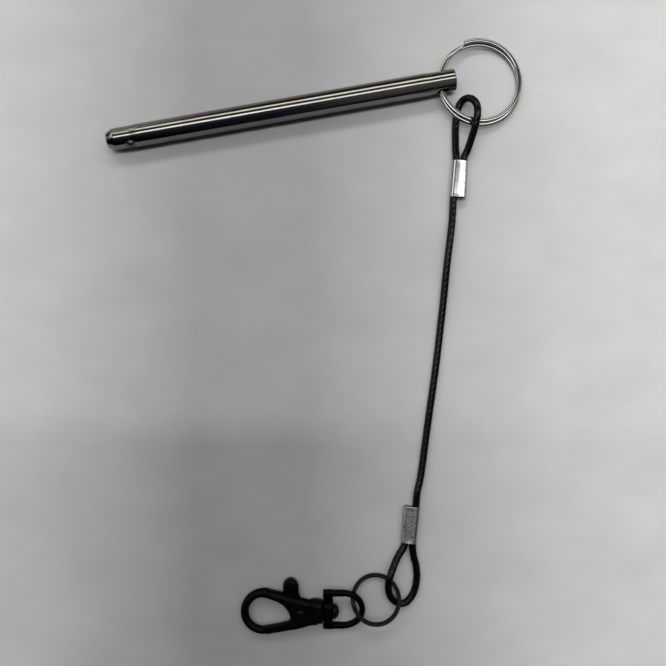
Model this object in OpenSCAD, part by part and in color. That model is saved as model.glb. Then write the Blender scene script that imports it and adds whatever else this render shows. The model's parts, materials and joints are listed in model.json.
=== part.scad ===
// Detent ring pin on a wire-rope lanyard, with a swivel trigger clasp at the far end.
//
// The pin lies along X with its head at +X; the lanyard and clasp lie towards -Y.
// The origin is on the pin's axis, in the middle of its usable grip length. Z is up.
// Everything rests on a flat surface at z = -grip_d / 2. Sizes are in millimetres.

/* [Pin] */
// Overall length of the pin
pin_len = 152.4; // [100:0.1:200]
// Diameter of the ground grip (3/8 in)
grip_d = 9.525; // [6:0.005:16]
// Usable length between the detent ball and the ring hole (5 in)
grip_len = 127; // [80:1:160]
// Radial relief of the nose and the head below the ground grip
relief = 0.2; // [0.16:0.01:0.3]
// Length of the lead-in chamfer on the nose
tip_chamfer = 3; // [1:0.1:5]
// Radial depth of the lead-in chamfer
tip_depth = 1.25; // [0.5:0.05:2]
// Size of the small edge break on the head
head_edge = 0.4; // [0.1:0.1:1]
// Position of the ring hole along the pin
hole_x = 70.4; // [66:0.1:73]
// Diameter of the ring hole
hole_d = 5.2; // [4:0.1:6]

/* [Detent ball] */
// Diameter of the ball
ball_d = 3.5; // [2:0.1:5]
// Position of the ball along the pin
ball_x = -66.2; // [-70:0.1:-60]
// Angle of the ball above the horizontal, on the -Y side
ball_angle = 25; // [0:5:90]
// Distance of the ball's centre from the pin's axis when it is out
ball_out = 3.56; // [3:0.01:4]
// Travel of the ball when it is pressed flush
ball_travel = 0.8; // [0.5:0.05:1]
// Clearance around the ball in its pocket
ball_gap = 0.05; // [0.01:0.01:0.1]
// Diameter of the staked mouth that keeps the ball in
mouth_d = 3.24; // [3:0.01:3.4]
// Thickness of the staked mouth
mouth_t = 0.25; // [0.1:0.05:0.5]
// Wire diameter of the ball's spring
ball_spring_wire = 0.35; // [0.2:0.05:0.5]

/* [Head ring] */
// Mean radius of the steel split ring
ring_r = 17.5; // [12:0.5:25]
// Radial width of its flat wire
ring_w = 2; // [1:0.1:3]
// Thickness of its two turns together
ring_t = 2.6; // [1.5:0.1:4]
// How far its lower turn has slipped across the upper one, towards the lanyard
ring_slip = 1.2; // [0:0.1:2]
// How far the swing axis lies inside the wire's centre line
ring_offset = 0.5; // [0:0.05:1]
// Turn of the ring about Z
ring_yaw = -6.5; // [-15:0.5:15]
// Droop of the ring's far side
ring_droop = 5.2; // [0:0.1:10]
// Roll of the ring about the line from the pin to its far side
ring_roll = -1; // [-5:0.1:5]

/* [Lanyard] */
// Diameter over the black coating
cable_d = 3.2; // [1.5:0.1:4]
// Length of a ferrule
ferrule_len = 16; // [10:0.5:20]
// Thickness of a ferrule
ferrule_t = 4.4; // [3:0.1:6]
// Distance between the centres of a ferrule's rounded sides
ferrule_c = 2.9; // [2:0.1:4]
// Distance between the two cable holes in a ferrule
leg_c = 3.52; // [3.2:0.02:4]
// Diameter of the cable holes in a ferrule
leg_hole_d = 3.5; // [3.1:0.05:3.6]

/* [Small split ring] */
// Mean radius of the black split ring
key_r = 10; // [8:0.1:15]
// Radial width of its wire
key_w = 1.85; // [1:0.05:3]
// Thickness of its two turns together
key_t = 2; // [1:0.1:3]
// Tilt of the ring, up towards the open end of the bail
key_tilt = 17; // [0:1:40]
// Tilt of the ring, up towards the lanyard
key_lean = 3; // [0:1:10]

/* [Swivel bail] */
// Width of the crossbar along the swivel axis
bar_w = 4.2; // [3:0.1:6]
// Length of the crossbar
bar_len = 19; // [12:0.5:22]
// Height of the crossbar's middle, where the post goes through
bar_h = 5; // [4:0.1:7]
// Length of that middle
boss_len = 8; // [5:0.5:12]
// Wire diameter of the bow
bow_d = 2.5; // [2:0.1:4]
// Mean radius of the bow's round end
bow_r = 8.3; // [5:0.05:10]
// Distance from the crossbar to the centre of the round end
bow_reach = 6.6; // [5:0.1:15]
// Roll of the bail about the swivel axis
bail_roll = 16.5; // [-30:1:30]
// Offset of the bow's middle from the swivel axis
bail_shift = 1; // [0:0.1:2]

/* [Clasp] */
// Thickness of the clasp's two cheeks together with the slot
clasp_t = 5; // [4:0.1:7]
// Width of the slot that the trigger moves in
slot_t = 2.6; // [2:0.1:4]
// Thickness of the gate arm
gate_t = 3; // [2:0.1:4]
// Thickness of the thumb tab
tab_t = 4.4; // [2:0.1:6]
// Thickness of the trigger
trigger_t = 2.2; // [1.5:0.1:3]
// Diameter of the hook's wire
hook_d = 3.5; // [2.5:0.1:5]
// Centre-line radius of the hook's bend
hook_r = 8.05; // [5:0.05:12]
// Distance from the swivel bail to the centre of the hook's bend
hook_x = 28.1; // [20:0.1:40]
// Width of the neck
neck_d = 10.2; // [6:0.1:12]
// Thickness of the neck between its flats
neck_t = 6.8; // [4:0.1:10]
// Diameter of the swivel post
post_d = 3.2; // [2:0.1:4]
// Diameter of the swivel post's domed head
post_head_d = 6.4; // [5:0.1:8]
// Diameter of the trigger's rivet
rivet_d = 2; // [1.5:0.1:3]
// Wire diameter of the trigger's spring
trigger_spring_wire = 0.35; // [0.2:0.05:0.5]

/* [Hidden] */
$fn = 48;
eps = 0.01;
table_z = -grip_d / 2;
grip_r = grip_d / 2;
body_r = grip_r - relief;

// Which piece to show

steel = [0.72, 0.71, 0.69];
bright = [0.80, 0.79, 0.77];
alu = [0.74, 0.75, 0.77];
black = [0.05, 0.05, 0.06];
gunmetal = [0.16, 0.16, 0.18];

// heights above the surface
function up(x, y, h) = [x, y, table_z + h];

// where the clasp's swivel axis starts, and how the clasp lies
swivel = [-17.6, -217.6, -1.15];
lie = -10;
// the trigger's pivot, in the clasp's own plane
pivot = [11.8, 0.4];
// distance from the pivot to the gate's tip
gate_reach = 17.3;

// the upper ferrule: middle, direction and height
upper_mid = [71, -42.3];
upper_dir = 256.3;
upper_h = 2.5;

// the lower ferrule
lower_mid = [24.2, -187];
lower_dir = 255;
lower_h = 2.4;

// a point of a ferrule's leg: along it from its middle, and to its side (+ is clockwise of its direction)
function leg(mid, dir, along, side, h) =
    up(mid[0] + along * cos(dir) + side * leg_c / 2 * sin(dir),
       mid[1] + along * sin(dir) - side * leg_c / 2 * cos(dir), h);

// where the swing axis of the ring crosses the cable
lanyard_joint = [62.3, -68.6, -1.45];

// cable from its cut end in the upper ferrule, round the eye in the ring, to the joint
upper_route = [
    leg(upper_mid, upper_dir, 6.5, -1, upper_h),
    leg(upper_mid, upper_dir, 1, -1, upper_h),
    leg(upper_mid, upper_dir, -4, -1, upper_h),
    leg(upper_mid, upper_dir, -9.5, -1, upper_h),
    up(76.9, -30.4, 3.2),
    up(79.2, -25.8, 4.9),
    up(81.2, -21.4, 6.5),
    up(82.7, -17, 7.3),
    up(83.2, -13, 6.9),
    up(82.1, -9.8, 5.4),
    up(80, -8.5, 3.7),
    up(77.8, -9.4, 2.2),
    up(76, -12.1, 1.6),
    up(74.6, -16, 1.6),
    up(73.5, -20.4, 1.6),
    up(72.7, -25, 1.8),
    up(72, -29, 2.2),
    leg(upper_mid, upper_dir, -9.5, 1, upper_h),
    leg(upper_mid, upper_dir, -4, 1, upper_h),
    leg(upper_mid, upper_dir, 1, 1, upper_h),
    leg(upper_mid, upper_dir, 6, 1, upper_h),
    leg(upper_mid, upper_dir, 12, 1, upper_h + 0.1),
    up(64.8, -60.2, 3),
    up(62.4, -68.3, 3.3)
];

// cable from the joint to the lower ferrule, and round the lower eye to its cut end
lower_route = [
    up(62.2, -68.9, 3.3),
    up(59.2, -79, 2.9),
    up(56, -91, 2.1),
    up(52, -105, 1.6),
    up(46.9, -122, 1.6),
    up(41.4, -139, 1.6),
    up(36.3, -155, 1.6),
    up(32.4, -167, 2),
    leg(lower_mid, lower_dir, -14, -1, lower_h),
    leg(lower_mid, lower_dir, -9, -1, lower_h),
    leg(lower_mid, lower_dir, -4, -1, lower_h),
    leg(lower_mid, lower_dir, 1, -1, lower_h),
    leg(lower_mid, lower_dir, 5, -1, lower_h),
    leg(lower_mid, lower_dir, 8.8, -1, lower_h),
    up(23.3, -200.8, 2.2),
    up(23.6, -205.6, 1.8),
    up(23, -210.8, 1.6),
    up(20.9, -216.2, 1.6),
    up(17.8, -219.7, 1.6),
    up(14.7, -220.7, 1.6),
    up(11.9, -219.2, 1.8),
    up(10.1, -216, 3.1),
    up(9.9, -212, 4.7),
    up(11.1, -207.8, 5.4),
    up(13.4, -203.8, 4.6),
    up(16.3, -199.8, 3.2),
    leg(lower_mid, lower_dir, 9.5, 1.05, lower_h),
    leg(lower_mid, lower_dir, 5, 1, lower_h),
    leg(lower_mid, lower_dir, 0, 1, lower_h),
    leg(lower_mid, lower_dir, -6.5, 1, lower_h)
];

// a smooth curve through a route, with k steps between points
function blendpt(a, b, c, d, t) =
    0.5 * ((2 * b) + (c - a) * t + (2 * a - 5 * b + 4 * c - d) * t * t
           + (3 * b - a - 3 * c + d) * t * t * t);
function smooth(p, k) = [
    for (i = [0 : len(p) - 2], s = [0 : k - 1])
        blendpt(i == 0 ? 2 * p[0] - p[1] : p[i - 1], p[i], p[i + 1],
                i + 2 > len(p) - 1 ? 2 * p[i + 1] - p[i] : p[i + 2], s / k),
    p[len(p) - 1]
];
function unit(v) = v / norm(v);
function heading(p, i) = unit(p[min(i + 1, len(p) - 1)] - p[max(i - 1, 0)]);

// a skin of rings of points, closed at both ends
module skin(rings) {
    n = len(rings[0]);
    m = len(rings);
    polyhedron(
        points = [for (r = rings, q = r) q],
        faces = concat(
            [[for (j = [0 : n - 1]) j]],
            [for (i = [0 : m - 2], j = [0 : n - 1])
                [i * n + j, (i + 1) * n + j, (i + 1) * n + (j + 1) % n, i * n + (j + 1) % n]],
            [[for (j = [n - 1 : -1 : 0]) (m - 1) * n + j]]
        ),
        convexity = 10
    );
}

// a round cord along a route
module cord(route, d, k) {
    p = smooth(route, k);
    skin([for (i = [0 : len(p) - 1])
        let (t = heading(p, i), a = unit(cross([0, 0, 1], t)), b = cross(t, a))
        [for (j = [0 : 7]) p[i] + d / 2 * (cos(45 * j + 22.5) * a + sin(45 * j + 22.5) * b)]]);
}

// a split ring: one flat wire, two turns, with a short crossover between them; the lower turn
// lies a little towards -Y when it has slipped
module two_turns(r, w, t, start, slip = 0) {
    half = t / 2;
    wire = half - 0.04;
    c = 0.22 * wire;
    function level(s) = s <= 340 ? half / 2
        : s >= 360 ? -half / 2
        : half / 2 * cos(9 * (s - 340));
    profile = [[-w / 2 + c, -wire / 2], [w / 2 - c, -wire / 2], [w / 2, -wire / 2 + c],
               [w / 2, wire / 2 - c], [w / 2 - c, wire / 2], [-w / 2 + c, wire / 2],
               [-w / 2, wire / 2 - c], [-w / 2, -wire / 2 + c]];
    steps = concat([for (s = [0 : 8.5 : 340]) s], [345, 350, 355], [for (s = [360 : 8.5 : 700]) s]);
    skin([for (s = steps)
        [for (q = profile)
            [(r + q[0]) * cos(start - s),
             (r + q[0]) * sin(start - s) - slip * (half / 2 - level(s)) / half,
             level(s) + q[1]]]]);
}

// a shaft along X from x0 to x1
module shaft(x0, x1, r) {
    translate([x0, 0, 0]) rotate([0, 90, 0]) cylinder(h = x1 - x0, r = r);
}

// places the detent's own axis, with +Z pointing out of the pin
module at_ball() {
    translate([ball_x, 0, 0]) rotate([90 - ball_angle, 0, 0]) children();
}

module pin_body() {
    color(steel)
    difference() {
        union() {
            shaft(-grip_len / 2, grip_len / 2, grip_r);
            shaft(-pin_len / 2 + tip_chamfer, -grip_len / 2 + eps, body_r);
            shaft(grip_len / 2 - eps, pin_len / 2 - head_edge, body_r);
            translate([-pin_len / 2, 0, 0]) rotate([0, 90, 0])
                cylinder(h = tip_chamfer, r1 = grip_r - tip_depth, r2 = body_r);
            translate([pin_len / 2 - head_edge, 0, 0]) rotate([0, 90, 0])
                cylinder(h = head_edge, r1 = body_r, r2 = body_r - head_edge);
        }
        translate([hole_x, 0, 0]) rotate([90, 0, 0]) cylinder(h = 20, d = hole_d, center = true);
        at_ball() {
            translate([0, 0, -1.6]) cylinder(h = body_r - mouth_t + 1.6, r = ball_d / 2 + ball_gap);
            cylinder(h = 10, d = mouth_d);
        }
    }
}

module detent_ball() {
    color(bright) at_ball() translate([0, 0, ball_out]) sphere(d = ball_d);
}

// a coil spring round Z, with the wire's centre line going from height low to high
module coil(r, wire, low, high, turns) {
    end = 360 * turns;
    skin([for (s = [0 : 30 : end])
        let (z = low + (high - low) * s / end)
        [for (j = [0 : 5])
            [(r + wire / 2 * cos(60 * j)) * cos(s),
             (r + wire / 2 * cos(60 * j)) * sin(s),
             z - wire / 2 * sin(60 * j)]]]);
}

module detent_spring() {
    color(steel) at_ball()
        coil(ball_d / 2 - ball_spring_wire / 2 - 0.1, ball_spring_wire,
             -1.6 + ball_spring_wire / 2 + 0.02, ball_out - 2.05, 3.5);
}

module split_ring() {
    color(bright)
    translate([hole_x, 0, 0]) rotate([ring_roll, ring_droop, ring_yaw])
        translate([ring_r - ring_offset, 0, 0]) two_turns(ring_r, ring_w, ring_t, 110, ring_slip);
}

module cable_upper() {
    color(black) cord(upper_route, cable_d, 3);
}

module cable_lower() {
    color(black) cord(lower_route, cable_d, 3);
}

// a flat double sleeve with its length along X, pressed onto two legs of cable
module ferrule() {
    rotate([90, 0, 90])
        linear_extrude(height = ferrule_len, center = true)
            difference() {
                union() {
                    square([ferrule_c, ferrule_t], center = true);
                    translate([-ferrule_c / 2, 0]) circle(d = ferrule_t);
                    translate([ferrule_c / 2, 0]) circle(d = ferrule_t);
                }
                translate([-leg_c / 2, 0]) circle(d = leg_hole_d);
                translate([leg_c / 2, 0]) circle(d = leg_hole_d);
            }
}

module upper_ferrule() {
    color(alu) translate(up(upper_mid[0], upper_mid[1], upper_h)) rotate([0, 0, upper_dir]) ferrule();
}

module lower_ferrule() {
    color(alu) translate(up(lower_mid[0], lower_mid[1], lower_h)) rotate([0, 0, lower_dir]) ferrule();
}

module key_ring() {
    color(gunmetal)
    translate(up(3.8, -216, 4.15)) rotate([0, 0, lie]) rotate([-key_tilt, -key_lean, 0])
        two_turns(key_r, key_w, key_t, 200);
}

// places the bail: +X points from the crossbar to the round end
module at_bail() {
    translate(swivel) rotate([0, 0, lie]) rotate([bail_roll, 0, 0]) children();
}

module swivel_bail() {
    color(black) at_bail()
    difference() {
        translate([0, bail_shift, 0]) {
            cube([bar_w, bar_len, bow_d], center = true);
            translate([0, -bail_shift, 0]) cube([bar_w, boss_len, bar_h], center = true);
            for (s = [-1, 1])
                translate([0, s * bow_r, 0]) rotate([0, 90, 0]) cylinder(h = bow_reach + eps, d = bow_d);
            translate([bow_reach, 0, 0]) rotate([0, 0, -90])
                rotate_extrude(angle = 180) translate([bow_r, 0]) circle(d = bow_d);
        }
        rotate([0, 90, 0]) cylinder(h = 20, d = post_d + 0.1, center = true);
    }
}

// places the clasp: +X points from the swivel to the hook, +Y to the gate's side
module at_clasp() {
    translate(swivel) rotate([0, 0, lie + 180]) children();
}

module swivel_post() {
    color(gunmetal) at_clasp() {
        translate([-bar_w / 2 - 0.2, 0, 0]) rotate([0, 90, 0]) cylinder(h = 8, d = post_d);
        translate([-bar_w / 2 - 0.2, 0, 0]) rotate([0, -90, 0])
            rotate_extrude()
                intersection() {
                    translate([0, -1.4]) circle(r = 4);
                    square([post_head_d / 2, 6]);
                }
    }
}

// the outline of the two cheeks
module cheek_outline() {
    polygon([[5, -4.7], [8, -4.9], [12.3, -6], [19.4, -7.8], [23.5, -8.9], [27, -9.6], [27, -6.5],
             [24.5, -5.4], [22.1, -4.6],
             [19.1, -2.6], [17.2, -0.2], [16.4, 2], [16.6, 3.5], [17, 4.3], [17, 8], [12.9, 7.4],
             [9.9, 6.5], [7, 5.6], [5, 5.2]]);
}

module clasp_body() {
    color(black) at_clasp()
    difference() {
        union() {
            intersection() {
                translate([bar_w / 2 + 0.4, 0, 0]) rotate([0, 90, 0]) cylinder(h = 4.2, d = neck_d);
                translate([5, 0, 0]) cube([10, 20, neck_t], center = true);
            }
            linear_extrude(height = clasp_t, center = true) cheek_outline();
            translate([hook_x, 0, 0]) rotate([0, 0, -98])
                rotate_extrude(angle = 194) translate([hook_r, 0]) circle(d = hook_d);
            translate([21, -7.1, 0]) rotate([0, 90, -9]) cylinder(h = 6, d = hook_d + 0.6);
        }
        translate([13.3, 0, 0]) cube([13, 30, slot_t], center = true);
        rotate([0, 90, 0]) cylinder(h = 5.75, d = post_d + 0.04);
        translate(pivot) cylinder(h = 20, d = rivet_d + 0.04, center = true);
        intersection() {
            translate(pivot) cylinder(h = 10, r = gate_reach + 0.2, center = true);
            translate([26, 8, 0]) cube([6, 7, 10], center = true);
        }
    }
}

// the outline of the trigger inside the slot: tab root, hub and gate root
module trigger_outline() {
    translate(pivot) circle(d = 6);
    polygon([[8.9, 0.6], [12.7, -8], [12.9, -12], [19, -12], [19.2, -8], [16.4, -2.6], [14.8, 1]]);
    polygon([[10, 3], [11.6, -1.8], [14.6, 0], [16.2, 3.6], [17.9, 4.8], [22, 5.8], [22, 8.9],
             [15.8, 7.7], [12, 5]]);
}

module trigger() {
    color(black) at_clasp()
    difference() {
        union() {
            linear_extrude(height = trigger_t, center = true) trigger_outline();
            linear_extrude(height = gate_t, center = true)
                intersection() {
                    polygon([[17.4, 4.5], [22.1, 5.6], [30, 7], [30, 10.2], [25, 9.4], [17.4, 8.1]]);
                    translate(pivot) circle(r = gate_reach);
                }
            linear_extrude(height = tab_t, center = true)
                intersection() {
                    union() {
                        translate([16.3, -11.2]) circle(d = 6.4);
                        polygon([[12.6, -8], [13.1, -11.2], [19.5, -11.2], [19.5, -8.8]]);
                    }
                    translate([10, -18]) square([12, 9.6]);
                }
        }
        translate(pivot) cylinder(h = 20, d = rivet_d + 0.1, center = true);
    }
}

module trigger_rivet() {
    color(gunmetal) at_clasp() translate(pivot) {
        cylinder(h = clasp_t + 0.1, d = rivet_d, center = true);
        for (s = [0, 180]) rotate([s, 0, 0]) translate([0, 0, clasp_t / 2 + 0.02])
            cylinder(h = 0.5, r1 = 1.7, r2 = 1.2);
    }
}

// behind the trigger's tab, against the end of the slot
module trigger_spring() {
    color(steel) at_clasp() translate([0, -3, 0]) rotate([0, 90, 0])
        coil(0.8, trigger_spring_wire, 6.85 + trigger_spring_wire / 2, 8.9 - trigger_spring_wire / 2, 3.5);
}

pin_body();
detent_ball();
detent_spring();
split_ring();
cable_upper();
cable_lower();
upper_ferrule();
lower_ferrule();
key_ring();
swivel_bail();
swivel_post();
clasp_body();
trigger();
trigger_rivet();
trigger_spring();
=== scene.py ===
"""Looks for a detent ring pin on a wire-rope lanyard with a swivel trigger clasp.

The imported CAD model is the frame. Each visible CAD node is replaced by a finer mesh of the same size in
the same place. Sizes are in millimetres and turn into metres when a mesh is made.
"""
import bpy
import bmesh
import json
import math
import numpy as np
from mathutils import Matrix, Vector


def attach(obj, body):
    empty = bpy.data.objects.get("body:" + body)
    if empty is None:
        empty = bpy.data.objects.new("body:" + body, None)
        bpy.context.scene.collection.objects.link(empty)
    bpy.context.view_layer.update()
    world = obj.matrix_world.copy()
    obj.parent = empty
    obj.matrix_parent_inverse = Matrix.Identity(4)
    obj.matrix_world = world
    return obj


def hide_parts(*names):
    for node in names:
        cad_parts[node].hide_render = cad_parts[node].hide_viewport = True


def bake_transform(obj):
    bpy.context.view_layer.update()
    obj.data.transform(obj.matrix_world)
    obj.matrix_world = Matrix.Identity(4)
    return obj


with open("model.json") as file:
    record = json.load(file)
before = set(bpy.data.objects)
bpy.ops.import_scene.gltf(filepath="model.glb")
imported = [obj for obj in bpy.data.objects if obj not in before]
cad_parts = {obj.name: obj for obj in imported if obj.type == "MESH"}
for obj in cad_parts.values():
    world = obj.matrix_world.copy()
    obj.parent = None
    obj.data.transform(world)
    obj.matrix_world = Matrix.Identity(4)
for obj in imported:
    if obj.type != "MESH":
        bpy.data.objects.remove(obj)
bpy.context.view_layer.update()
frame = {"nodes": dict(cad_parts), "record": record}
scene = bpy.context.scene

MM = 0.001

# ---------------------------------------------------------------- sizes, as in the CAD model
PIN_LEN = 152.4
GRIP_R = 9.525 / 2
GRIP_LEN = 127
BODY_R = GRIP_R - 0.2
TIP_R = GRIP_R - 1.25
HOLE_X = 70.4
HOLE_R = 2.6
BALL_R = 1.75
BALL_X = -66.2
BALL_ANGLE = 25
BALL_OUT = 3.56
MOUTH_R = 1.62
TABLE = -GRIP_R

RING_R = 17.5
RING_W = 2
RING_T = 2.6
RING_OFFSET = 0.5
RING_TURN = (-1, 5.2, -6.5)
RING_SLIP = 1.2

CABLE_D = 3.2
FERRULE_LEN = 16
FERRULE_T = 4.4
FERRULE_C = 2.9
LEG_C = 3.52
UPPER_MID = (71, -42.3)
UPPER_DIR = 256.3
UPPER_H = 2.5
LOWER_MID = (24.2, -187)
LOWER_DIR = 255
LOWER_H = 2.4

KEY_R = 10
KEY_W = 1.85
KEY_T = 2
KEY_TURN = (-17, -3, 0)
KEY_MID = (3.8, -216)
KEY_HEIGHT = 4.15

SWIVEL = (-17.6, -217.6, -1.15)
LIE = -10
BAR_W = 4.2
BAR_LEN = 19
BAR_H = 5
BOSS_LEN = 8
BOW_D = 2.5
BOW_R = 8.3
BOW_REACH = 6.6
BAIL_ROLL = 16.5
BAIL_SHIFT = 1

CLASP_T = 5
SLOT_T = 2.6
GATE_T = 3
TAB_T = 4.4
TRIGGER_T = 2.2
HOOK_D = 3.5
HOOK_R = 8.05
HOOK_X = 28.1
NECK_D = 10.2
NECK_T = 6.8
POST_D = 3.2
POST_HEAD_D = 6.4
RIVET_D = 2
PIVOT = (11.8, 0.4)
GATE_REACH = 17.3


def up(x, y, height):
    """A point at a height above the surface that everything lies on."""
    return (x, y, TABLE + height)


# ---------------------------------------------------------------- camera
# the camera hangs over this point, and is turned so that the pin lies at a slant
VIEW_MIDDLE = (5.4, -98.9)
CAMERA_Z = 288.84
CAMERA_TURN = -9.93
LENS = 36.07
SENSOR = 36


def add_camera():
    """A camera that looks straight down."""
    data = bpy.data.cameras.new("camera")
    data.lens = LENS
    data.sensor_width = SENSOR
    data.clip_start = 0.01
    camera = bpy.data.objects.new("camera", data)
    scene.collection.objects.link(camera)
    camera.location = (VIEW_MIDDLE[0] * MM, VIEW_MIDDLE[1] * MM, CAMERA_Z * MM)
    camera.rotation_euler = (0, 0, math.radians(CAMERA_TURN))
    scene.camera = camera


add_camera()


# ---------------------------------------------------------------- mesh helpers
BODIES = frame["record"]["behaviour"]["bodies"]


def spin(rx, ry, rz):
    """A rotation about X, then Y, then Z, in degrees."""
    return (Matrix.Rotation(math.radians(rz), 4, "Z") @ Matrix.Rotation(math.radians(ry), 4, "Y")
            @ Matrix.Rotation(math.radians(rx), 4, "X"))


def piece(name, verts, faces, material, node, place=None, sharp=40):
    """A finished mesh, in millimetres, that stands for a CAD node and rides on its body."""
    mesh = bpy.data.meshes.new(name)
    turn = Matrix.Scale(MM, 4) @ (place or Matrix.Identity(4))
    mesh.from_pydata([turn @ Vector(v) for v in verts], [], [tuple(f) for f in faces])
    mesh.polygons.foreach_set("use_smooth", [True] * len(mesh.polygons))
    mesh.set_sharp_from_angle(angle=math.radians(sharp))
    mesh.materials.append(material)
    obj = bpy.data.objects.new(name, mesh)
    scene.collection.objects.link(obj)
    if node:
        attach(obj, next(b for b, nodes in BODIES.items() if node in nodes))
        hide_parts(node)
    return obj


def bridge(rings, count, closed):
    """Quads between rings of count points, which are stored one after another."""
    faces = []
    for i in range(rings if closed else rings - 1):
        for j in range(count):
            k = (j + 1) % count
            low, high = i * count, (i + 1) % rings * count
            faces.append((low + j, high + j, high + k, low + k))
    return faces


def circle(radius, count):
    """Points round a circle."""
    turns = [2 * math.pi * j / count for j in range(count)]
    return [(radius * math.cos(a), radius * math.sin(a)) for a in turns]


def lathe(profile, count):
    """A solid turned about X from (x, radius) points; both ends are on the axis."""
    verts = [(profile[0][0], 0, 0)]
    for x, r in profile[1:-1]:
        verts += [(x, y, z) for y, z in circle(r, count)]
    verts.append((profile[-1][0], 0, 0))
    rings = len(profile) - 2
    faces = [tuple(k + 1 for k in f) for f in bridge(rings, count, False)]
    last = len(verts) - 1
    for j in range(count):
        k = (j + 1) % count
        faces.append((0, 1 + j, 1 + k))
        faces.append((last, last - count + k, last - count + j))
    return verts, faces


def sweep(path, profile, closed=False):
    """Rings of profile points along a path; profile(i, along) gives (side, rise) points."""
    points = [Vector(p) for p in path]
    side = Vector((0, 0, 1)).cross(points[1] - points[0]).normalized()
    verts = []
    along = 0
    for i, p in enumerate(points):
        ahead = points[(i + 1) % len(points)] if closed else points[min(i + 1, len(points) - 1)]
        behind = points[i - 1] if closed else points[max(i - 1, 0)]
        t = (ahead - behind).normalized()
        side = (side - t * side.dot(t)).normalized()
        rise = t.cross(side)
        for s, r in profile(i, along):
            verts.append(p + side * s + rise * r)
        along += (ahead - p).length
    count = len(verts) // len(points)
    faces = bridge(len(points), count, closed)
    if not closed:
        faces.append(tuple(range(count)))
        faces.append(tuple(range(len(verts) - 1, len(verts) - 1 - count, -1)))
    return verts, faces


def cut(obj, cutters):
    """Takes closed meshes, in millimetres, out of a piece."""
    for verts, faces in cutters:
        mesh = bpy.data.meshes.new("cutter")
        mesh.from_pydata([Vector(v) * MM for v in verts], [], faces)
        tool = bmesh.new()
        tool.from_mesh(mesh)
        bmesh.ops.recalc_face_normals(tool, faces=tool.faces)
        tool.to_mesh(mesh)
        tool.free()
        cutter = bpy.data.objects.new("cutter", mesh)
        scene.collection.objects.link(cutter)
        mod = obj.modifiers.new("cut", "BOOLEAN")
        mod.operation = "DIFFERENCE"
        mod.solver = "EXACT"
        mod.object = cutter
        bpy.context.view_layer.update()
        done = bpy.data.meshes.new_from_object(obj.evaluated_get(bpy.context.evaluated_depsgraph_get()))
        obj.modifiers.clear()
        obj.data = done
        bpy.data.objects.remove(cutter)
    obj.data.polygons.foreach_set("use_smooth", [True] * len(obj.data.polygons))
    obj.data.set_sharp_from_angle(angle=math.radians(32))


# ---------------------------------------------------------------- cast shapes from distance fields
def surface_net(field, low, high, step):
    """The zero surface of a signed distance field between two corners, as smooth quads."""
    axes = [np.arange(a, b + step, step) for a, b in zip(low, high)]
    points = np.stack(np.meshgrid(*axes, indexing="ij"), -1)
    value = field(points)
    inside = value < 0
    cells = np.array(value.shape) - 1
    total = np.zeros((*cells, 3))
    count = np.zeros(cells)
    edges = []
    for axis in range(3):
        first = [slice(None)] * 3
        second = [slice(None)] * 3
        first[axis] = slice(0, -1)
        second[axis] = slice(1, None)
        first, second = tuple(first), tuple(second)
        cross = inside[first] != inside[second]
        edges.append((cross, inside[first]))
        gap = np.where(cross, value[first] - value[second], 1)
        t = np.where(cross, value[first] / gap, 0)[..., None]
        place = points[first] * (1 - t) + points[second] * t
        u, v = (axis + 1) % 3, (axis + 2) % 3
        for du in (0, 1):
            for dv in (0, 1):
                pick = [slice(None)] * 3
                pick[u] = slice(du, du + cells[u])
                pick[v] = slice(dv, dv + cells[v])
                hit = cross[tuple(pick)]
                total += place[tuple(pick)] * hit[..., None]
                count += hit
    active = count > 0
    index = np.full(cells, -1)
    index[active] = np.arange(active.sum())
    verts = total[active] / count[active][:, None]
    faces = []
    for axis in range(3):
        u, v = (axis + 1) % 3, (axis + 2) % 3
        cross, starts_inside = edges[axis]
        pick = [slice(None)] * 3
        pick[u] = slice(1, cells[u])
        pick[v] = slice(1, cells[v])
        at = np.array(np.nonzero(cross[tuple(pick)]))
        outward = starts_inside[tuple(pick)][tuple(at)]
        corners = []
        for du, dv in ((0, 0), (1, 0), (1, 1), (0, 1)):
            cell = at.copy()
            cell[u] += du
            cell[v] += dv
            corners.append(index[tuple(cell)])
        quads = np.stack(corners, -1)
        faces.extend(np.where(outward[:, None], quads, quads[:, ::-1]).tolist())
    for _ in range(3):
        verts = verts - pull(field, verts, step)
    return verts.tolist(), faces


def pull(field, verts, step):
    """How far points near a surface are from it, as vectors no longer than half a step."""
    h = 0.02
    here = field(verts)
    slope = np.stack([(field(verts + h * np.eye(3)[i]) - field(verts - h * np.eye(3)[i])) / (2 * h)
                      for i in range(3)], -1)
    size = np.maximum((slope ** 2).sum(-1), 0.05)
    move = slope * (here / size)[:, None]
    length = np.linalg.norm(move, axis=-1)[:, None]
    return move * np.minimum(1, step * 0.5 / np.maximum(length, 1e-9))


def join(a, b, k):
    """The union of two fields with a fillet of about k."""
    h = np.clip(0.5 + 0.5 * (b - a) / k, 0, 1)
    return b * (1 - h) + a * h - k * h * (1 - h)


def take(a, b, k):
    """Field a without field b, with an edge rounded by about k."""
    return -join(-a, b, k)


def both(a, b, k):
    """Where fields a and b overlap, with an edge rounded by about k."""
    return -join(-a, -b, k)


def rod(p, a, b, ra, rb=None):
    """A round bar with round ends from a to b, of radius ra that becomes rb."""
    a, b = np.array(a, float), np.array(b, float)
    t = np.clip(((p - a) @ (b - a)) / ((b - a) @ (b - a)), 0, 1)
    r = ra if rb is None else ra + (rb - ra) * t
    return np.linalg.norm(p - a - t[..., None] * (b - a), axis=-1) - r


def rounded(sides, r):
    """A convex shape with edges rounded by r, from the distances to its sides moved in by r."""
    return np.linalg.norm(np.maximum(sides, 0), axis=-1) + np.minimum(sides.max(-1), 0) - r


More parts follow.
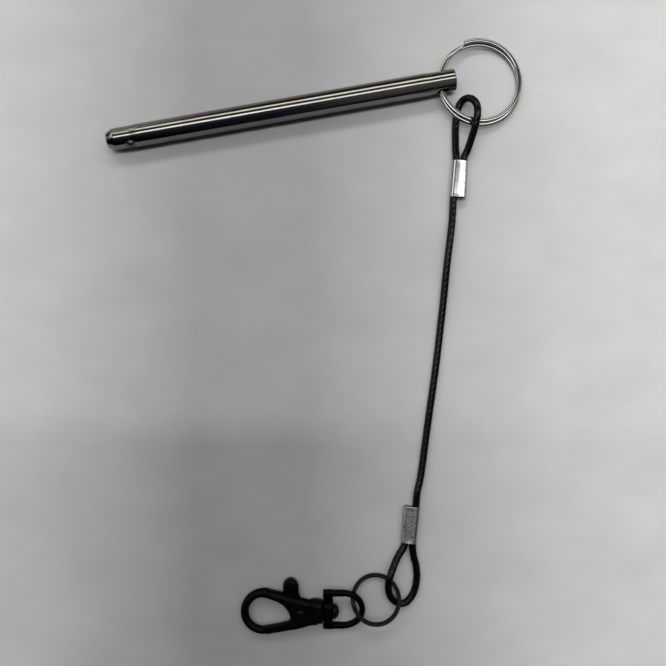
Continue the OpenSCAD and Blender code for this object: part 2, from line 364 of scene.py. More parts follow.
def block(p, middle, size, r):
    """A box with edges rounded by r."""
    return rounded(np.abs(p - np.array(middle, float)) - np.array(size, float) / 2 + r, r)


def drum(p, x0, x1, radius, r):
    """A cylinder along X with edges rounded by r."""
    ends = np.abs(p[..., 0] - (x0 + x1) / 2) - (x1 - x0) / 2 + r
    return rounded(np.stack([np.hypot(p[..., 1], p[..., 2]) - radius + r, ends], -1), r)


def outline(p, corners):
    """Signed distance in X and Y to a closed outline."""
    x, y = p[..., 0], p[..., 1]
    near = np.full(x.shape, 1e9)
    crossings = np.zeros(x.shape, bool)
    for (ax, ay), (bx, by) in zip(corners, corners[1:] + corners[:1]):
        ex, ey = bx - ax, by - ay
        t = np.clip(((x - ax) * ex + (y - ay) * ey) / (ex * ex + ey * ey), 0, 1)
        near = np.minimum(near, np.hypot(x - ax - t * ex, y - ay - t * ey))
        if ey:
            crossings ^= ((ay > y) != (by > y)) & (x < ax + (y - ay) * ex / ey)
    return np.where(crossings, -near, near)


def plate(p, flat, thick, r):
    """A flat shape of a thickness, from its distance in the plane, with edges rounded by r."""
    return rounded(np.stack([flat + r, np.abs(p[..., 2]) - thick / 2 + r], -1), r)


def bend(p, cx, cy, radius, a0, a1, tube):
    """A round wire along an arc from angle a0 to a1, in degrees; tube(t) is its radius."""
    x, y = p[..., 0] - cx, p[..., 1] - cy
    middle = math.radians((a0 + a1) / 2)
    half = math.radians((a1 - a0) / 2)
    angle = (np.arctan2(y, x) - middle + math.pi) % (2 * math.pi) - math.pi
    angle = np.clip(angle, -half, half)
    on_x = radius * np.cos(angle + middle)
    on_y = radius * np.sin(angle + middle)
    far = np.sqrt((x - on_x) ** 2 + (y - on_y) ** 2 + p[..., 2] ** 2)
    return far - tube((angle + half) / (2 * half))


def ripple(p, scale, seed):
    """Smooth waves without a direction, from -1 to 1."""
    rng = np.random.default_rng(seed)
    total = 0
    for _ in range(7):
        way = rng.normal(size=3)
        way = way / np.linalg.norm(way) * rng.uniform(0.7, 1.4) / scale
        total = total + np.sin(p @ way + rng.uniform(0, 2 * math.pi))
    return total / 4


# ---------------------------------------------------------------- materials
# the sockets of a Mix node that mixes colours
MIX_FACTOR = 0
MIX_FIRST = 6
MIX_SECOND = 7
MIX_RESULT = 2


def material(name, colour, metallic, roughness, **sockets):
    """A principled material."""
    mat = bpy.data.materials.new(name)
    mat.use_nodes = True
    shader = mat.node_tree.nodes["Principled BSDF"]
    shader.inputs["Base Color"].default_value = (*colour, 1)
    shader.inputs["Metallic"].default_value = metallic
    shader.inputs["Roughness"].default_value = roughness
    for socket, value in sockets.items():
        shader.inputs[socket.replace("_", " ")].default_value = value
    return mat


def add(mat, kind, **values):
    """A node with its attributes and input values set."""
    node = mat.node_tree.nodes.new(kind)
    for key, value in values.items():
        if key in node.inputs:
            node.inputs[key].default_value = value
        else:
            setattr(node, key, value)
    return node


def wire(mat, source, target):
    """Links an output to an input."""
    mat.node_tree.links.new(source, target)


def noise(mat, scale, stretch=(1, 1, 1), detail=3.0, rough=0.5):
    """Noise in the object's own metres, stretched by dividing each axis."""
    where = add(mat, "ShaderNodeTexCoord")
    turn = add(mat, "ShaderNodeMapping")
    turn.inputs["Scale"].default_value = stretch
    wire(mat, where.outputs["Object"], turn.inputs["Vector"])
    tex = add(mat, "ShaderNodeTexNoise", Scale=scale, Detail=detail, Roughness=rough)
    wire(mat, turn.outputs["Vector"], tex.inputs["Vector"])
    return tex.outputs["Fac"]


def ramp(mat, source, stops):
    """A colour ramp from (place, colour or grey) stops."""
    node = add(mat, "ShaderNodeValToRGB")
    band = node.color_ramp
    while len(band.elements) < len(stops):
        band.elements.new(0.5)
    for element, (place, value) in zip(band.elements, stops):
        element.position = place
        element.color = (*value, 1) if isinstance(value, tuple) else (value, value, value, 1)
    wire(mat, source, node.inputs["Fac"])
    return node.outputs["Color"]


def bump(mat, height, strength, distance):
    """Surface relief from a height, distance in millimetres."""
    node = add(mat, "ShaderNodeBump", Strength=strength, Distance=distance * MM)
    wire(mat, height, node.inputs["Height"])
    wire(mat, node.outputs["Normal"], mat.node_tree.nodes["Principled BSDF"].inputs["Normal"])


def shade(mat, socket, source):
    """Links an output to one of the shader's sockets."""
    wire(mat, source, mat.node_tree.nodes["Principled BSDF"].inputs[socket])


def bar_steel():
    """Drawn and ground stainless bar: fine lines along X, small changes of gloss."""
    mat = material("bar_steel", (0.23, 0.221, 0.21), 1, 0.12)
    lines = noise(mat, 1, (30, 2600, 2600), 4, 0.6)
    cloud = noise(mat, 160, (1, 1, 1), 3, 0.5)
    shade(mat, "Roughness", ramp(mat, lines, [(0.3, 0.07), (0.7, 0.17)]))
    shade(mat, "Base Color", ramp(mat, cloud, [(0.3, (0.21, 0.202, 0.192)), (0.7, (0.25, 0.241, 0.229))]))
    bump(mat, lines, 0.5, 0.02)
    return mat


def ring_steel(name, bright):
    """Spring steel with a little rolling texture; bright is how much light it gives back."""
    mat = material(name, (bright, bright * 0.98, bright * 0.95), 1, 0.12)
    marks = noise(mat, 900, (1, 1, 1), 3, 0.6)
    shade(mat, "Roughness", ramp(mat, marks, [(0.35, 0.08), (0.7, 0.18)]))
    bump(mat, marks, 0.35, 0.015)
    return mat


def vinyl():
    """Black vinyl over wire rope: glossy, with soft unevenness and a little dust."""
    black = (0.001, 0.0014, 0.0022)
    dusty = (0.005, 0.0054, 0.007)
    mat = material("black_vinyl", black, 0, 0.12, Specular_IOR_Level=0.2)
    soft = noise(mat, 700, (1, 1, 1), 3, 0.55)
    dust = noise(mat, 5200, (1, 1, 1), 2, 0.5)
    shade(mat, "Roughness", ramp(mat, soft, [(0.3, 0.04), (0.7, 0.1)]))
    shade(mat, "Base Color", ramp(mat, dust, [(0.75, black), (0.95, dusty)]))
    bump(mat, soft, 0.35, 0.03)
    return mat


def soft_metal(name, colours, rough, marks, strength):
    """Aluminium of a ferrule; marks is how fine its texture is along and across the ferrule."""
    mat = material(name, colours[1], 1, rough[1])
    grain = noise(mat, 1, (marks[0], marks[1], marks[1]), 3, 0.6)
    shade(mat, "Base Color", ramp(mat, grain, [(0.35, colours[0]), (0.65, colours[1])]))
    shade(mat, "Roughness", ramp(mat, grain, [(0.35, rough[1]), (0.7, rough[0])]))
    bump(mat, grain, strength, 0.05)
    return mat


def dark_plating():
    """Dark plating on the small split ring, worn slightly lighter in places."""
    mat = material("dark_plating", (0.002, 0.0022, 0.003), 0, 0.26, Specular_IOR_Level=0.09)
    wear = noise(mat, 900, (1, 1, 1), 4, 0.6)
    colours = [(0.45, (0.001, 0.0013, 0.002)), (0.75, (0.004, 0.0045, 0.0055))]
    shade(mat, "Base Color", ramp(mat, wear, colours))
    shade(mat, "Roughness", ramp(mat, wear, [(0.35, 0.18), (0.7, 0.32)]))
    bump(mat, wear, 0.25, 0.02)
    return mat


def enamel(name, colour, rough):
    """Black paint on a zinc casting, with a trace of orange peel."""
    mat = material(name, colour, 0, rough, Specular_IOR_Level=0.06)
    peel = noise(mat, 1400, (1, 1, 1), 2, 0.5)
    cloud = noise(mat, 420, (1, 1, 1), 3, 0.5)
    shade(mat, "Roughness", ramp(mat, cloud, [(0.3, rough * 0.75), (0.7, rough * 1.3)]))
    bump(mat, peel, 0.3, 0.02)
    return mat


def board():
    """Pale board with faint clouds, and painted shadow on it: darker in its middle, and darker again on its
    near side past a soft step.
    """
    mat = material("board", (0.5, 0.5, 0.48), 0, 0.55, Specular_IOR_Level=0.3)
    where = add(mat, "ShaderNodeTexCoord")
    parts = add(mat, "ShaderNodeSeparateXYZ")
    wire(mat, where.outputs["Object"], parts.inputs[0])

    def place(axis, low, high):
        """Where a point lies between two places on the board, in metres, from 0 to 1."""
        spread = add(mat, "ShaderNodeMapRange")
        spread.inputs["From Min"].default_value = low
        spread.inputs["From Max"].default_value = high
        wire(mat, parts.outputs[axis], spread.inputs["Value"])
        return spread.outputs[0]

    # painted shadow: the ramps across X darken the board's middle and leave it lighter towards +X, and the
    # near ramp is darker all over
    across = place("X", -0.15, 0.15)
    far = ramp(mat, across, [(0, 0.6), (0.06, 0.57), (0.3, 0.345), (0.46, 0.355), (0.83, 0.68), (1, 0.76)])
    near = ramp(mat, across, [(0, 0.51), (0.06, 0.48), (0.3, 0.25), (0.46, 0.27), (0.83, 0.64), (1, 0.74)])
    # the near side's painted shadow comes in over a soft step in Y
    painted_shadow_step = add(mat, "ShaderNodeMix", data_type="RGBA")
    wire(mat, place("Y", -0.05, -0.034), painted_shadow_step.inputs[MIX_FACTOR])
    wire(mat, near, painted_shadow_step.inputs[MIX_FIRST])
    wire(mat, far, painted_shadow_step.inputs[MIX_SECOND])
    cloud = noise(mat, 28, (1, 1.6, 1), 6, 0.6)
    grain = ramp(mat, cloud, [(0.3, (0.762, 0.78, 0.773)), (0.7, (0.853, 0.871, 0.864))])
    mixed = add(mat, "ShaderNodeVectorMath", operation="MULTIPLY")
    wire(mat, painted_shadow_step.outputs[MIX_RESULT], mixed.inputs[0])
    wire(mat, grain, mixed.inputs[1])
    shade(mat, "Base Color", mixed.outputs[0])
    return mat


STEEL = bar_steel()
RING_STEEL = ring_steel("ring_steel", 0.34)
BALL_STEEL = ring_steel("ball_steel", 0.14)
VINYL = vinyl()
ALUMINIUM = soft_metal("bright_aluminium", ((0.46, 0.46, 0.475), (0.56, 0.56, 0.57)), (0.13, 0.21),
                       (250, 1600), 0.1)
CRIMPED = soft_metal("crimped_aluminium", ((0.3, 0.3, 0.32), (0.56, 0.56, 0.59)), (0.22, 0.36),
                     (1000, 1000), 0.5)
PLATING = dark_plating()
PAINT = enamel("black_enamel", (0.0007, 0.0008, 0.0014), 0.3)


# ---------------------------------------------------------------- cable
def leg(mid, direction, along, side, height):
    """A point on one of a ferrule's two cable legs."""
    c, s = math.cos(math.radians(direction)), math.sin(math.radians(direction))
    return up(mid[0] + along * c + side * LEG_C / 2 * s, mid[1] + along * s - side * LEG_C / 2 * c, height)


def upper_leg(along, side, rise=0):
    """A point on a leg in or near the upper ferrule."""
    return leg(UPPER_MID, UPPER_DIR, along, side, UPPER_H + rise)


def lower_leg(along, side):
    """A point on a leg in or near the lower ferrule."""
    return leg(LOWER_MID, LOWER_DIR, along, side, LOWER_H)


CABLE_ROUTE = [
    upper_leg(6.5, -1), upper_leg(1, -1), upper_leg(-4, -1), upper_leg(-9.5, -1),
    up(76.9, -30.4, 3.2), up(79.2, -25.8, 4.9), up(81.2, -21.4, 6.5), up(82.7, -17, 7.3),
    up(83.2, -13, 6.9), up(82.1, -9.8, 5.4), up(80, -8.5, 3.7), up(77.8, -9.4, 2.2),
    up(76, -12.1, 1.6), up(74.6, -16, 1.6), up(73.5, -20.4, 1.6), up(72.7, -25, 1.8),
    up(72, -29, 2.2),
    upper_leg(-9.5, 1), upper_leg(-4, 1), upper_leg(1, 1), upper_leg(6, 1), upper_leg(12, 1, 0.1),
    up(64.8, -60.2, 3), up(62.3, -68.6, 3.3), up(59.2, -79, 2.9), up(56, -91, 2.1),
    up(52, -105, 1.6), up(46.9, -122, 1.6), up(41.4, -139, 1.6), up(36.3, -155, 1.6),
    up(32.4, -167, 2),
    lower_leg(-14, -1), lower_leg(-9, -1), lower_leg(-4, -1), lower_leg(1, -1), lower_leg(5, -1),
    lower_leg(8.8, -1),
    up(23.3, -200.8, 2.2), up(23.6, -205.6, 1.8), up(23, -210.8, 1.6), up(20.9, -216.2, 1.6),
    up(17.8, -219.7, 1.6), up(14.7, -220.7, 1.6), up(11.9, -219.2, 1.8), up(10.1, -216, 3.1),
    up(9.9, -212, 4.7), up(11.1, -207.8, 5.4), up(13.4, -203.8, 4.6), up(16.3, -199.8, 3.2),
    lower_leg(9.5, 1.05), lower_leg(5, 1), lower_leg(0, 1), lower_leg(-6.5, 1),
]


def smooth_route(route, steps):
    """A smooth curve through a route, as the CAD model draws it."""
    p = [Vector(q) for q in route]
    p = [2 * p[0] - p[1]] + p + [2 * p[-1] - p[-2]]
    points = []
    for a, b, c, d in zip(p, p[1:], p[2:], p[3:]):
        for s in range(steps):
            t = s / steps
            points.append(0.5 * (2 * b + (c - a) * t + (2 * a - 5 * b + 4 * c - d) * t * t
                                 + (3 * b - a - 3 * c + d) * t ** 3))
    return points + [p[-2]]


def even_steps(points, step):
    """The same curve with its points a step apart."""
    line = [points[0]]
    left = step
    for a, b in zip(points, points[1:]):
        span = (b - a).length
        while left <= span:
            line.append(a + (b - a) * (left / span))
            left += step
        left -= span
    return line + [points[-1]]


def make_cable():
    """One coated rope with its strands showing faintly through the coating."""
    strands = 6
    lay_length = 16
    ridge = 0.05
    around = 36
    line = even_steps(smooth_route(CABLE_ROUTE, 12), 0.4)

    def profile(i, along):
        points = []
        for j in range(around):
            a = 2 * math.pi * j / around
            wave = abs(math.cos((strands * a - 2 * math.pi * strands * along / lay_length) / 2))
            r = CABLE_D / 2 - 2 * ridge * (1 - wave) ** 1.5
            points.append((r * math.cos(a), r * math.sin(a)))
        return points

    verts, faces = sweep(line, profile)
    cable = piece("cable", verts, faces, VINYL, None, sharp=70)
    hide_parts("cable_upper", "cable_lower")
    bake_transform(cable)
    return cable, line


cable, cable_line = make_cable()


# ---------------------------------------------------------------- pin and ball
def ball_seat():
    """The ball's place on the pin's axis, with Z pointing out along its pocket."""
    return Matrix.Translation((BALL_X, 0, 0)) @ spin(90 - BALL_ANGLE, 0, 0)


def pin_profile():
    """The pin from its chamfered nose to its head, with soft slopes at both ends of the ground grip."""
    half = PIN_LEN / 2
    nose = -half
    nose_edge = 0.45
    head_edge = 0.6
    slope_len = 3.6
    slope_steps = 8
    slope = [i / slope_steps for i in range(slope_steps + 1)]
    profile = [(nose, 0), (nose, TIP_R - 1.5), (nose, TIP_R - nose_edge)]
    profile += [(nose + nose_edge - nose_edge * math.cos(a), TIP_R - nose_edge + nose_edge * math.sin(a))
                for a in (0.3, 0.6, 0.9, 1.15)]
    profile += [(nose + 0.9, TIP_R + 0.22), (nose + 1.6, TIP_R + 0.52), (nose + 2.2, TIP_R + 0.76),
                (nose + 2.7, TIP_R + 0.925), (nose + 3.1, TIP_R + 1.01), (nose + 3.6, BODY_R)]
    profile += [(x, BODY_R) for x in np.arange(nose + 4.5, -GRIP_LEN / 2 - 3, 0.8)]
    profile += [(-GRIP_LEN / 2 - 2.6 + slope_len * t, BODY_R + (GRIP_R - BODY_R) * t * t * (3 - 2 * t))
                for t in slope]
    profile += [(x, GRIP_R) for x in np.arange(-60, 61, 3)]
    profile += [(GRIP_LEN / 2 - 1 + slope_len * t, GRIP_R + (BODY_R - GRIP_R) * t * t * (3 - 2 * t))
                for t in slope]
    profile += [(x, BODY_R) for x in np.arange(GRIP_LEN / 2 + 3.2, half - head_edge - 0.2, 0.7)]
    profile += [(half - head_edge + head_edge * math.sin(a), BODY_R - head_edge + head_edge * math.cos(a))
                for a in (0, 0.25, 0.5, 0.75, 1, 1.25, 1.5708)]
    return profile + [(half, BODY_R - 1.6), (half, 0)]


def cross_hole():
    """A cutter along Y for the hole through the head, with both mouths countersunk."""
    sink_start = BODY_R - 0.55
    sink_slope = 0.9
    reach = 12
    mouth = HOLE_R + sink_slope * (reach - sink_start)
    profile = [(-reach, 0), (-reach, mouth), (-sink_start, HOLE_R), (sink_start, HOLE_R), (reach, mouth),
               (reach, 0)]
    verts, faces = lathe(profile, 72)
    return [(HOLE_X + z, x, y) for x, y, z in verts], faces


def ball_pocket():
    """A cutter for the ball's pocket, which staking narrows at its mouth."""
    floor = -1.6
    pocket_r = 1.8
    reach = 8
    profile = [(floor, 0), (floor, pocket_r), (BODY_R - 0.32, pocket_r), (BODY_R - 0.2, MOUTH_R),
               (reach, MOUTH_R), (reach, 0)]
    verts, faces = lathe(profile, 64)
    return [ball_seat() @ Vector((y, z, x)) for x, y, z in verts], faces


def stake_groove():
    """A cutter for the round groove that staking leaves about the pocket's mouth."""
    stake_r = 2.12
    groove_r = 0.26
    above = 0.04
    line = [ball_seat() @ Vector((x, y, math.sqrt(BODY_R ** 2 - y * y) + above))
            for x, y in circle(stake_r, 72)]
    groove = circle(groove_r, 12)
    return sweep(line, lambda i, along: groove, True)


def make_pin():
    """The bar with a chamfered nose, a drilled head and the staked pocket of the ball."""
    verts, faces = lathe(pin_profile(), 144)
    pin = piece("pin", verts, faces, STEEL, "pin_body")
    cut(pin, [cross_hole(), ball_pocket(), stake_groove()])


def make_ball():
    """A steel ball that stands out of its pocket."""
    steps = 40
    profile = [(-BALL_R * math.cos(math.pi * i / steps), BALL_R * math.sin(math.pi * i / steps))
               for i in range(steps + 1)]
    verts, faces = lathe(profile, 64)
    place = ball_seat() @ Matrix.Translation((0, 0, BALL_OUT))
    piece("ball", verts, faces, BALL_STEEL, "detent_ball", place)


# ---------------------------------------------------------------- rings
def smooth_step(x, start, length):
    """0 up to start, then a smooth rise over a length to 1."""
    return (1 - math.cos(math.pi * min(max((x - start) / length, 0), 1))) / 2


def ring_line(radius, start, rise, slip):
    """The centre line of a split ring, from its top end to its low end; the low turn slips towards -Y."""
    # two turns less a gap, in degrees; the wire steps down at the end of its first turn
    sweep_end = 688
    points = []
    for s in range(0, sweep_end + 1, 2):
        low = smooth_step(s, 326, 34)
        shift = smooth_step(s, 240, 120)
        a = math.radians(start - s)
        points.append((radius * math.cos(a), radius * math.sin(a) - slip * shift, rise * (1 - 2 * low)))
    return points


def make_split_ring(name, radius, width, thick, start, slip, place, mat, node, crown):
    """A split ring of flat wire with rounded sides; crown is how round the wire is."""
    half = thick / 2
    gap = 0.04
    wire_t = half - gap
    line = ring_line(radius, start, half / 2, slip)
    count = 28
    last = len(line) - 1

    def profile(i, along):
        points = []
        end = min(i, last - i)
        shrink = 1 if end > 1 else (0.8, 0.95)[end]
        for j in range(count):
            a = 2 * math.pi * j / count
            c, s = math.cos(a), math.sin(a)
            x = math.copysign(abs(c) ** crown, c) * width / 2 * shrink
            y = math.copysign(abs(s) ** crown, s) * wire_t / 2 * shrink
            points.append((x, y))
        return points

    verts, faces = sweep(line, profile)
    piece(name, verts, faces, mat, node, place, sharp=60)


# ---------------------------------------------------------------- ferrules
def make_ferrule(name, mid, direction, height, mat, node, wide_end, crown, dent, seed):
    """A flat double sleeve pressed on two legs of cable.

    It is wider at one end (1 or -1). A crown arches its faces, and without one it has a shallow waist. The
    dents of crimping are dent deep, and seed picks their pattern.
    """
    half = FERRULE_LEN / 2
    taper = 0.12
    waist_depth = 0.12
    edge = 0.18
    end_len = 1.6
    bore_len = 2

    def field(p):
        x, y, z = p[..., 0], p[..., 1], p[..., 2]
        widen = taper * wide_end * x / half
        across = np.maximum(np.abs(y) - FERRULE_C / 2 - widen, 0)
        end = np.clip((np.abs(x) - half + end_len) / end_len, 0, 1)
        waist = waist_depth * np.exp(-(y / 1.1) ** 2) * (1 - end) if crown == 0 else 0
        bow = 1 + crown * y ** 2 / (1 + (y / 1.9) ** 4)
        flat = np.hypot(across, z * bow) - FERRULE_T / 2 + 0.04 * (1 - end ** 2) + waist
        solid = rounded(np.stack([flat + edge, np.abs(x) - half + edge], -1), edge)
        solid = solid + dent * (1 - 0.6 * end) * ripple(p, 0.2, seed) + 0.02 * ripple(p, 1.3, seed + 1)
        # the sleeve grips the legs, so its bores only show near the ends
        bore = np.hypot(np.abs(y) - LEG_C / 2 + 0.12, z) - CABLE_D / 2 + 0.02 - 0.06 * end
        return take(solid, both(bore, half - bore_len - np.abs(x), 0.05), 0.06)

    verts, faces = surface_net(field, (-8.5, -3.9, -2.6), (8.5, 3.9, 2.6), 0.13)
    place = Matrix.Translation(up(*mid, height)) @ spin(0, 0, direction)
    piece(name, verts, faces, mat, node, place, sharp=180)


# ---------------------------------------------------------------- swivel bail, post and clasp
def make_bail(place):
    """The cast crossbar with its swivel boss, two arms and a round bow."""
    wire_r = BOW_D / 2
    arm_edge = 0.75
    bow_edge = 0.95

    def field(p):
        off = p - np.array([0, BAIL_SHIFT, 0])
        bar = block(off, (0, 0, 0), (BAR_W, BAR_LEN, BOW_D), 0.45)
        boss = block(p, (0, 0, 0), (BAR_W, BOSS_LEN, BAR_H), 0.9)
        shape = join(bar, boss, 0.9)
        for s in (-1, 1):
            sides = np.stack([np.abs(off[..., 1] - s * BOW_R), np.abs(off[..., 2])], -1) - wire_r + arm_edge
            arm = rounded(sides, arm_edge)
            arm = both(arm, np.abs(off[..., 0] - BOW_REACH / 2) - BOW_REACH / 2 - 0.05, 0.05)
            shape = join(shape, arm, 0.5)
        radial = np.hypot(off[..., 0] - BOW_REACH, off[..., 1]) - BOW_R
        sides = np.stack([np.abs(radial), np.abs(off[..., 2])], -1) - wire_r + bow_edge
        bow = both(rounded(sides, bow_edge), BOW_REACH - off[..., 0], 0.05)
        shape = join(shape, bow, 0.15)
        bore = both(np.hypot(p[..., 1], p[..., 2]) - POST_D / 2 - 0.05, p[..., 0] - BAR_W, 0.05)
        return take(shape, bore, 0.15)

    verts, faces = surface_net(field, (-2.6, -9.2, -3), (17, 11.2, 3), 0.16)
    piece("bail", verts, faces, PAINT, "swivel_bail", place, sharp=180)


def make_post(place):
    """The swivel post and its domed rivet head."""
    back = -BAR_W / 2 - 0.2
    head_r = POST_HEAD_D / 2
    post_r = POST_D / 2
    dome_height = 2.58
    post_end = back + 8
    dome = [(back - dome_height * math.cos(a), head_r * math.sin(a)) for a in np.linspace(0, 1.35, 14)]
    rim = [(back - 0.42, head_r * 0.995), (back - 0.15, head_r), (back, head_r - 0.12)]
    shaft = [(back, post_r), (back + 0.3, post_r), (back + 7.7, post_r), (post_end, post_r - 0.25),
             (post_end, 0)]
    verts, faces = lathe(dome + rim + shaft, 64)
    piece("swivel_rivet", verts, faces, PLATING, "swivel_post", place)


# the outline of the clasp's two cheeks
CHEEKS = [(5, -4.6), (8, -4.7), (12.3, -5.8), (19.4, -7.55), (23.5, -8.6), (26.3, -9), (26.3, -6.8),
          (24.5, -5.6), (22.1, -4.7), (19.1, -2.6), (17.2, -0.2), (16.4, 2), (16.6, 3.5), (17, 4.3),
          (17, 8), (12.9, 7.4), (9.9, 6.5), (7, 5.6), (5, 5.2)]


def make_clasp(place):
    """The cast body: neck, two cheeks with the trigger's slot between them, and the hook."""
    def hook_r(t):
        """The radius of the hook's wire, which is thicker near its root."""
        return HOOK_D / 2 + 0.25 * np.clip(1 - 2 * t, 0, 1) ** 1.3

    def field(p):
        x, y, z = p[..., 0], p[..., 1], p[..., 2]
        cheeks = plate(p, outline(p, CHEEKS), CLASP_T, 1.7)
        neck = drum(p, BAR_W / 2 + 0.2, BAR_W / 2 + 4.6, NECK_D / 2, 0.6)
        neck = both(neck, np.abs(z) - NECK_T / 2, 1.2)
        shape = join(cheeks, neck, 2)
        hook = bend(p, HOOK_X, 0, HOOK_R, -98, 96, hook_r)
        root = rod(p, (19.6, -6, 0), (27.5, -7.95, 0), 2, 1.9)
        shape = join(shape, join(root, hook, 0.8), 1.4)
        slot = block(p, (13.3, 0, 0), (13, 30, SLOT_T), 0.2)
        shape = take(shape, slot, 0.25)
        shape = take(shape, both(np.hypot(y, z) - POST_D / 2 - 0.02, x - 5.75, 0.05), 0.1)
        shape = take(shape, np.hypot(x - PIVOT[0], y - PIVOT[1]) - RIVET_D / 2 - 0.02, 0.08)
        sweep_room = np.hypot(x - PIVOT[0], y - PIVOT[1]) - GATE_REACH - 0.12
        room = both(sweep_room, block(p, (26, 8, 0), (6, 7, 10), 0.1), 0.05)
        return take(shape, room, 0.15)

    verts, faces = surface_net(field, (2, -11.5, -3.7), (38, 11, 3.7), 0.17)
    piece("clasp_casting", verts, faces, PAINT, "clasp_body", place, sharp=180)


def make_trigger(place):
    """One lever: the thumb tab, the hub on the rivet, and the gate arm that shuts the hook."""
    root = [(8.9, 0.6), (12.7, -8), (12.9, -12), (19, -12), (19.2, -8), (16.4, -2.6), (14.8, 1)]
    tail = [(10, 3), (11.6, -1.8), (14.6, 0), (16.2, 3.6), (17.9, 4.8), (22, 5.8), (22, 8.9), (15.8, 7.7),
            (12, 5)]
    gate = [(17.25, 4.45), (22.1, 5.5), (31, 7.1), (31, 10.35), (25, 9.4), (17.25, 8.05)]

    def field(p):
        x, y = p[..., 0], p[..., 1]
        from_pivot = np.hypot(x - PIVOT[0], y - PIVOT[1])
        limbs = np.minimum(outline(p, root), outline(p, tail))
        lever = plate(p, np.minimum(from_pivot - 3, limbs), TRIGGER_T, 0.2)
        arm = both(outline(p, gate), from_pivot - GATE_REACH, 0.1)
        arm = plate(p, arm, GATE_T, 0.7)
        tab = np.hypot(x - 16.3, (y + 11.2) * np.where(y < -11.2, 1, 0.05)) - 3.2
        tab = both(tab, y + 8.5, 0.3)
        tab = plate(p, tab, TAB_T, 1.3)
        shape = join(join(lever, arm, 0.25), tab, 0.4)
        return take(shape, from_pivot - RIVET_D / 2 - 0.05, 0.08)

    verts, faces = surface_net(field, (7.5, -15.6, -2.6), (30.2, 11, 2.6), 0.15)
    piece("trigger_lever", verts, faces, PAINT, "trigger", place, sharp=180)


def make_rivet(place):
    """The trigger's rivet, headed over on both sides."""
    top = CLASP_T / 2
    cap = [(top + 0.02, RIVET_D / 2), (top + 0.02, 1.6), (top + 0.1, 1.7), (top + 0.28, 1.55),
           (top + 0.42, 1.2), (top + 0.5, 0.7), (top + 0.52, 0)]
    low = [(-x, r) for x, r in reversed(cap)]
    verts, faces = lathe(low + cap, 48)
    along_z = place @ Matrix.Translation((*PIVOT, 0)) @ spin(0, -90, 0)
    piece("rivet", verts, faces, PLATING, "trigger_rivet", along_z)


# ---------------------------------------------------------------- the whole object
make_pin()
make_ball()
# the two springs are out of sight, so they keep their CAD meshes
for hidden in ("detent_spring", "trigger_spring"):
    coil = frame["nodes"][hidden]
    coil.data.materials.clear()
    coil.data.materials.append(RING_STEEL)
in_hole = Matrix.Translation((HOLE_X, 0, 0)) @ spin(*RING_TURN)
make_split_ring("head_ring", RING_R, RING_W, RING_T, 110, RING_SLIP,
                in_hole @ Matrix.Translation((RING_R - RING_OFFSET, 0, 0)),
                RING_STEEL, "split_ring", 0.8)
make_split_ring("small_ring", KEY_R, KEY_W, KEY_T, 200, 0,
                Matrix.Translation(up(*KEY_MID, KEY_HEIGHT)) @ spin(0, 0, LIE) @ spin(*KEY_TURN),
                PLATING, "key_ring", 0.8)
make_ferrule("upper_sleeve", UPPER_MID, UPPER_DIR, UPPER_H, ALUMINIUM, "upper_ferrule",
             wide_end=1, crown=0.039, dent=0.0, seed=3)
make_ferrule("lower_sleeve", LOWER_MID, LOWER_DIR, LOWER_H, CRIMPED, "lower_ferrule",
             wide_end=-1, crown=0.0, dent=0.015, seed=8)
at_swivel = Matrix.Translation(SWIVEL) @ spin(0, 0, LIE)
make_bail(at_swivel @ spin(BAIL_ROLL, 0, 0))
at_clasp = at_swivel @ spin(0, 0, 180)
make_post(at_clasp)
make_clasp(at_clasp)
make_trigger(at_clasp)
make_rivet(at_clasp)


# ---------------------------------------------------------------- floor and light
def add_floor():
    """A wide flat board under the object, turned like the camera; size is half its side, in metres."""
    size = 2.5
    corners = [(-size, -size, 0), (size, -size, 0), (size, size, 0), (-size, size, 0)]
    mesh = bpy.data.meshes.new("floor")
    mesh.from_pydata(corners, [], [(0, 1, 2, 3)])
    mesh.materials.append(board())
    floor = bpy.data.objects.new("floor", mesh)
    scene.collection.objects.link(floor)
    floor.location = (VIEW_MIDDLE[0] * MM, VIEW_MIDDLE[1] * MM, TABLE * MM)
    floor.rotation_euler = (0, 0, math.radians(CAMERA_TURN))


# how bright the room is at an angle from straight up, in degrees, towards +Y or -Y (negative)
ROOM = [(-180, (0.04, 0.04, 0.04)), (-90, (0.05, 0.05, 0.05)), (-80, (0.02, 0.02, 0.023)),
        (-66, (0.012, 0.014, 0.022)), (-35, (0.016, 0.02, 0.034)), (-20, (0.04, 0.045, 0.055)),
        (-6, (0.06, 0.06, 0.06)), (-1, (0.08, 0.08, 0.08)),
        (1, (4.3, 4.3, 4.2)), (9.5, (4.3, 4.3, 4.2)), (12.5, (0.12, 0.11, 0.1)), (27, (0.08, 0.07, 0.06)),
        (36, (0.1, 0.09, 0.08)), (39, (3.7, 3.5, 3.15)), (49, (3.7, 3.5, 3.15)), (52, (0.1, 0.09, 0.08)),
        (64, (0.07, 0.06, 0.055)), (78, (0.04, 0.036, 0.032)), (90, (0.06, 0.06, 0.06)),
        (180, (0.04, 0.04, 0.04))]
# soft panels on both sides of it, at an angle from straight up towards +X or -X (negative)
PANELS = [(-180, 0.05), (-60, 0.05), (-50, 1.8), (-32, 1.8), (-26, 0.0), (44, 0.0), (49, 0.9), (58, 0.9),
          (64, 0.05), (180, 0.05)]
# where the panels are, at an angle towards +Y or -Y
PANEL_SPAN = [(-180, 0.0), (9, 0.0), (17, 1.0), (60, 0.8), (80, 0.2), (180, 0.2)]
# how far the strips run to the left and right
STRIP_SPAN = [(-180, 0.05), (-84, 0.05), (-78, 0.8), (-68, 0.8), (-62, 0.05), (-27, 0.05), (-20, 0.7),
              (-10, 1.0), (36, 1.0), (46, 0.4), (66, 0.4), (72, 0.05), (180, 0.05)]
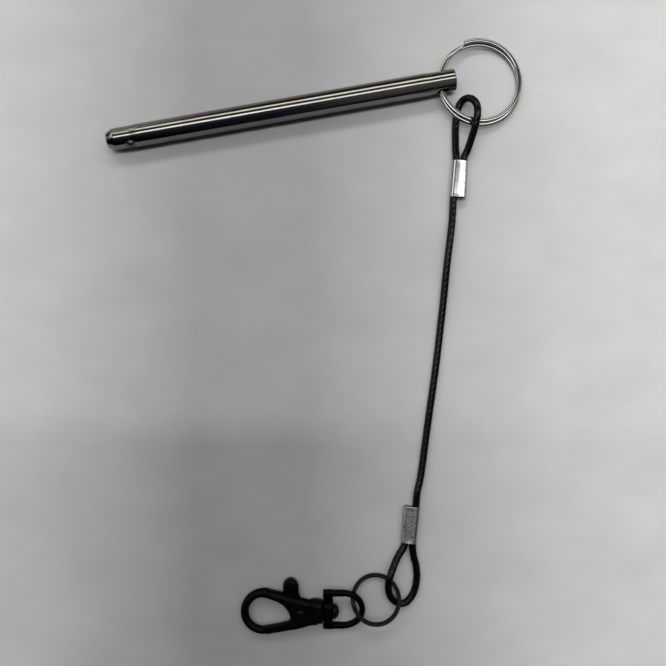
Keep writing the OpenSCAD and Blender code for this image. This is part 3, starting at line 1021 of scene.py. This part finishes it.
# a warm glow low on the right, and where it is towards +Y or -Y
GLOW = [(-180, (0, 0, 0)), (0, (0, 0, 0)), (4, (0.055, 0.049, 0.044)), (7.5, (0.17, 0.153, 0.136)),
        (30, (0.17, 0.153, 0.136)), (60, (0, 0, 0)), (180, (0, 0, 0))]
GLOW_SPAN = [(-180, 0.0), (-72, 0.0), (-56, 0.6), (-14, 1.0), (-2, 0.0), (180, 0.0)]


def add_room():
    """Strips of studio light over a darker room; the camera itself sees plain grey."""
    world = bpy.data.worlds.new("room")
    world.use_nodes = True
    tree = world.node_tree
    sky = tree.nodes["Background"]
    where = add(world, "ShaderNodeTexCoord")
    parts = add(world, "ShaderNodeSeparateXYZ")
    wire(world, where.outputs["Generated"], parts.inputs[0])

    def turned(across):
        """The angle from straight up, from 0 at -180 degrees to 1 at 180."""
        angle = add(world, "ShaderNodeMath", operation="ARCTAN2")
        wire(world, across, angle.inputs[0])
        wire(world, parts.outputs["Z"], angle.inputs[1])
        spread = add(world, "ShaderNodeMapRange")
        spread.inputs["From Min"].default_value = -math.pi
        spread.inputs["From Max"].default_value = math.pi
        wire(world, angle.outputs[0], spread.inputs["Value"])
        return spread.outputs[0]

    def by_angle(angle, stops):
        """A ramp over an angle, from stops in degrees."""
        return ramp(world, angle, [((a + 180) / 360, c) for a, c in stops])

    def both_of(operation, first, second):
        """Two colours added or multiplied."""
        node = add(world, "ShaderNodeVectorMath", operation=operation)
        wire(world, first, node.inputs[0])
        wire(world, second, node.inputs[1])
        return node.outputs[0]

    along_x = turned(parts.outputs["X"])
    along_y = turned(parts.outputs["Y"])
    strips = by_angle(along_y, ROOM)
    span = by_angle(along_y, PANEL_SPAN)
    panels = by_angle(along_x, PANELS)
    reach = by_angle(along_x, STRIP_SPAN)
    glow = by_angle(along_x, GLOW)
    low = by_angle(along_y, GLOW_SPAN)
    whole = both_of("ADD", both_of("MULTIPLY", strips, reach), both_of("MULTIPLY", span, panels))
    whole = both_of("ADD", whole, both_of("MULTIPLY", glow, low))
    seen = add(world, "ShaderNodeLightPath")
    mix = add(world, "ShaderNodeMix", data_type="RGBA")
    wire(world, seen.outputs["Is Camera Ray"], mix.inputs[MIX_FACTOR])
    wire(world, whole, mix.inputs[MIX_FIRST])
    mix.inputs[MIX_SECOND].default_value = (0.4, 0.4, 0.39, 1)
    wire(world, mix.outputs[MIX_RESULT], sky.inputs["Color"])
    scene.world = world


def add_light(name, place, aim, size, power, glossy):
    """A soft square light; without glossy it lights but isn't mirrored."""
    data = bpy.data.lights.new(name, "AREA")
    data.shape = "RECTANGLE"
    data.size, data.size_y = size
    data.energy = power
    light = bpy.data.objects.new(name, data)
    scene.collection.objects.link(light)
    light.location = place
    light.rotation_euler = (Vector(aim) - Vector(place)).to_track_quat("-Z", "Y").to_euler()
    light.visible_glossy = glossy


add_floor()
add_room()
add_light("overhead_strip", (0, 0.11, 0.9), (0, 0, 0), (0.8, 0.15), 2.9, False)
add_light("back_strip", (0, 0.63, 0.65), (0, 0, 0), (0.8, 0.11), 2.65, False)
scene.view_settings.view_transform = "Standard"
